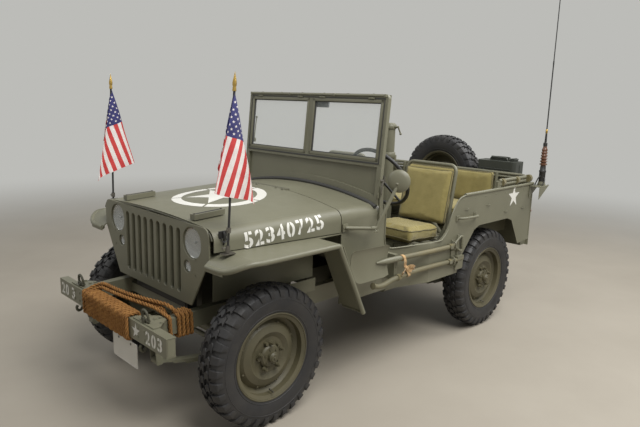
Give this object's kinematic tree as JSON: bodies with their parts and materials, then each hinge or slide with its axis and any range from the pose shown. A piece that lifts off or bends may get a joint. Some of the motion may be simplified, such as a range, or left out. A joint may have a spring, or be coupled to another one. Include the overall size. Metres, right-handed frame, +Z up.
{
  "type": "army 4x4 car",
  "caption": "Open military utility car with folding windshield, slotted grille, tow rope on the bumper, flags, fuel can, spare wheel and whip antenna.",
  "frame": {"origin": "on the ground under the middle of the car's length and width", "axes": "+X forward, +Y to the car's left, +Z up"},
  "size_m": [3.3763, 1.589, 3.05],
  "materials": {
    "olive_paint": "semi-matt olive drab paint",
    "tyre_rubber": "matt rubber",
    "engine_iron": "painted cast iron",
    "exhaust_steel": "dull steel",
    "black_metal": "black paint",
    "black_plastic": "matt black",
    "flag_cloth": "striped cloth",
    "gilt_brass": "polished brass",
    "wood": "oiled ash",
    "glass": "clear",
    "plate_white": "white paint",
    "manila_rope": "laid natural fibre",
    "canvas": "khaki canvas"
  },
  "bodies": {
    "chassis": {"antenna": "olive_paint", "body_tub": "olive_paint", "chassis_frame": "olive_paint", "driveshafts": "olive_paint", "engine_block": "engine_iron", "exhaust": "exhaust_steel", "fender_left": "olive_paint", "fender_right": "olive_paint", "flag_left": "flag_cloth", "flag_poles": "gilt_brass", "flag_right": "flag_cloth", "front_axle": "olive_paint", "front_bumper": "olive_paint", "gearbox": "olive_paint", "grille": "olive_paint", "jerrycan": "olive_paint", "jerrycan_holder": "olive_paint", "lamp_lenses": "glass", "lamps": "olive_paint", "leaf_springs": "olive_paint", "mirror": "olive_paint", "pedestal": "olive_paint", "pintle_hook": "olive_paint", "pioneer_tools": "wood", "plates": "plate_white", "radiator": "black_metal", "rear_axle": "olive_paint", "rear_bumperettes": "olive_paint", "rope_run": "manila_rope", "rope_turns": "manila_rope", "rope_wrap": "manila_rope", "seat_cushions": "canvas", "seat_frames": "olive_paint", "spare_tyre": "tyre_rubber", "spare_wheel": "olive_paint", "spring_hangers": "olive_paint", "steering_column": "olive_paint", "tail_lamps": "olive_paint", "top_bows": "olive_paint"},
    "knuckle_left": {"knuckle_left": "olive_paint"},
    "knuckle_right": {"knuckle_right": "olive_paint"},
    "tie_rod": {"tie_rod": "olive_paint"},
    "steering_wheel": {"steering_wheel": "black_plastic"},
    "hood": {"hood": "olive_paint", "hood_blocks": "wood"},
    "windshield": {"windshield_frame": "olive_paint", "windshield_glass": "glass"},
    "wheel_front_left": {"wheel_front_left": "olive_paint", "tyre_front_left": "tyre_rubber"},
    "wheel_front_right": {"wheel_front_right": "olive_paint", "tyre_front_right": "tyre_rubber"},
    "wheel_rear_left": {"wheel_rear_left": "olive_paint", "tyre_rear_left": "tyre_rubber"},
    "wheel_rear_right": {"wheel_rear_right": "olive_paint", "tyre_rear_right": "tyre_rubber"}
  },
  "joints": [
    {"name": "wheel_front_left_spin", "type": "hinge", "parent": "knuckle_left", "child": "wheel_front_left", "pos_m": [1.1525, 0.613, 0.358], "axis": [0, 1, 0], "continuous": true},
    {"name": "wheel_front_right_spin", "type": "hinge", "parent": "knuckle_right", "child": "wheel_front_right", "pos_m": [1.1525, -0.613, 0.358], "axis": [0, 1, 0], "continuous": true},
    {"name": "wheel_rear_left_spin", "type": "hinge", "parent": "chassis", "child": "wheel_rear_left", "pos_m": [-0.8795, 0.613, 0.358], "axis": [0, 1, 0], "continuous": true},
    {"name": "wheel_rear_right_spin", "type": "hinge", "parent": "chassis", "child": "wheel_rear_right", "pos_m": [-0.8795, -0.613, 0.358], "axis": [0, 1, 0], "continuous": true},
    {"name": "steering_wheel_turn", "type": "hinge", "parent": "chassis", "child": "steering_wheel", "pos_m": [-0.0075, 0.34, 1.115], "axis": [-0.8497, 0, 0.5272], "range_deg": [-338, 338]},
    {"name": "knuckle_left_steer", "type": "hinge", "parent": "chassis", "child": "knuckle_left", "pos_m": [1.1525, 0.54, 0.358], "axis": [0, 0, 1], "range_deg": [-26.5, 26.5]},
    {"name": "knuckle_right_steer", "type": "hinge", "parent": "chassis", "child": "knuckle_right", "pos_m": [1.1525, -0.54, 0.358], "axis": [0, 0, 1], "range_deg": [-26.5, 26.5]},
    {"name": "tie_rod_swing", "type": "hinge", "parent": "knuckle_left", "child": "tie_rod", "pos_m": [1.2925, 0.54, 0.392], "axis": [0, 0, 1], "range_deg": [-26.5, 26.5]},
    {"name": "hood_hinge", "type": "hinge", "parent": "chassis", "child": "hood", "pos_m": [0.6295, 0, 1.077], "axis": [0, -1, 0], "range_deg": [0, 122]},
    {"name": "windshield_hinge", "type": "hinge", "parent": "chassis", "child": "windshield", "pos_m": [0.3105, 0, 1.112], "axis": [0, -1, 0], "range_deg": [-96, 0]}
  ],
  "couplings": [
    {"joint": "knuckle_left_steer", "follows": "steering_wheel_turn", "ratio": 0.076923},
    {"joint": "knuckle_right_steer", "follows": "steering_wheel_turn", "ratio": 0.076923},
    {"joint": "tie_rod_swing", "follows": "steering_wheel_turn", "ratio": -0.076923}
  ]
}
